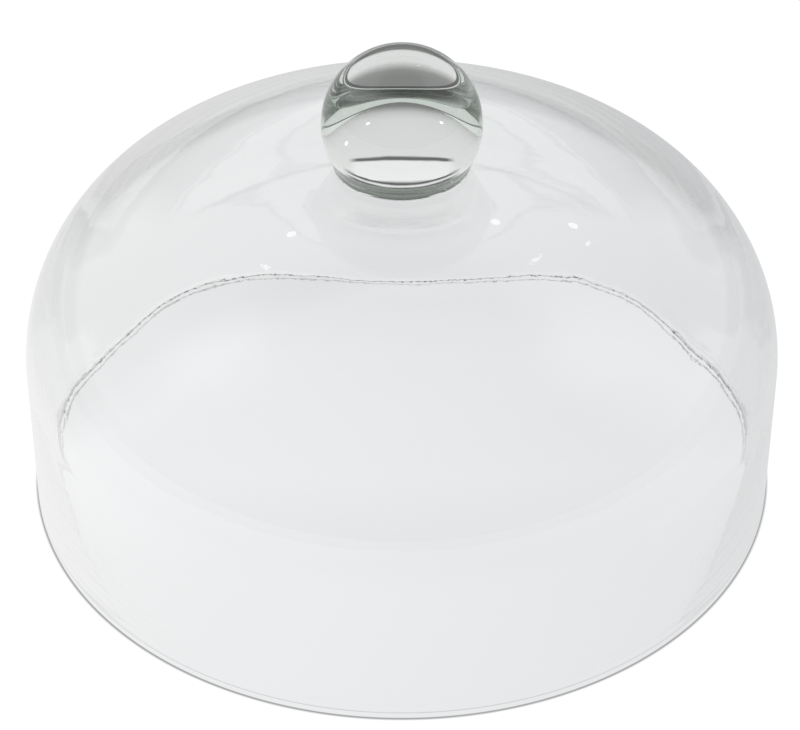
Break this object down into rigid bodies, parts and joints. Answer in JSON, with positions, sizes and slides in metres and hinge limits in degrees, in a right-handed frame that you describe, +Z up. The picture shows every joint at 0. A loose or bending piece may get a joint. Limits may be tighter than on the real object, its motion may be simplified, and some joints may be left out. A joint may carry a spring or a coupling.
{
  "type": "food cover dome",
  "caption": "Clear blown-glass dome with a straight wall, round shoulder and solid ball knob, set over food on a buffet to keep it covered and in view.",
  "frame": {"origin": "middle of the rim plane, the level that the dome stands on", "axes": "+Z up along the axis of turning, through the knob; the dome is the same all round, so +X and +Y are free"},
  "size_m": [0.285, 0.285, 0.1878],
  "materials": {
    "dome_glass": "gloss",
    "knob_glass": "gloss"
  },
  "bodies": {
    "root": {"dome": "dome_glass", "knob": "knob_glass"}
  },
  "joints": []
}
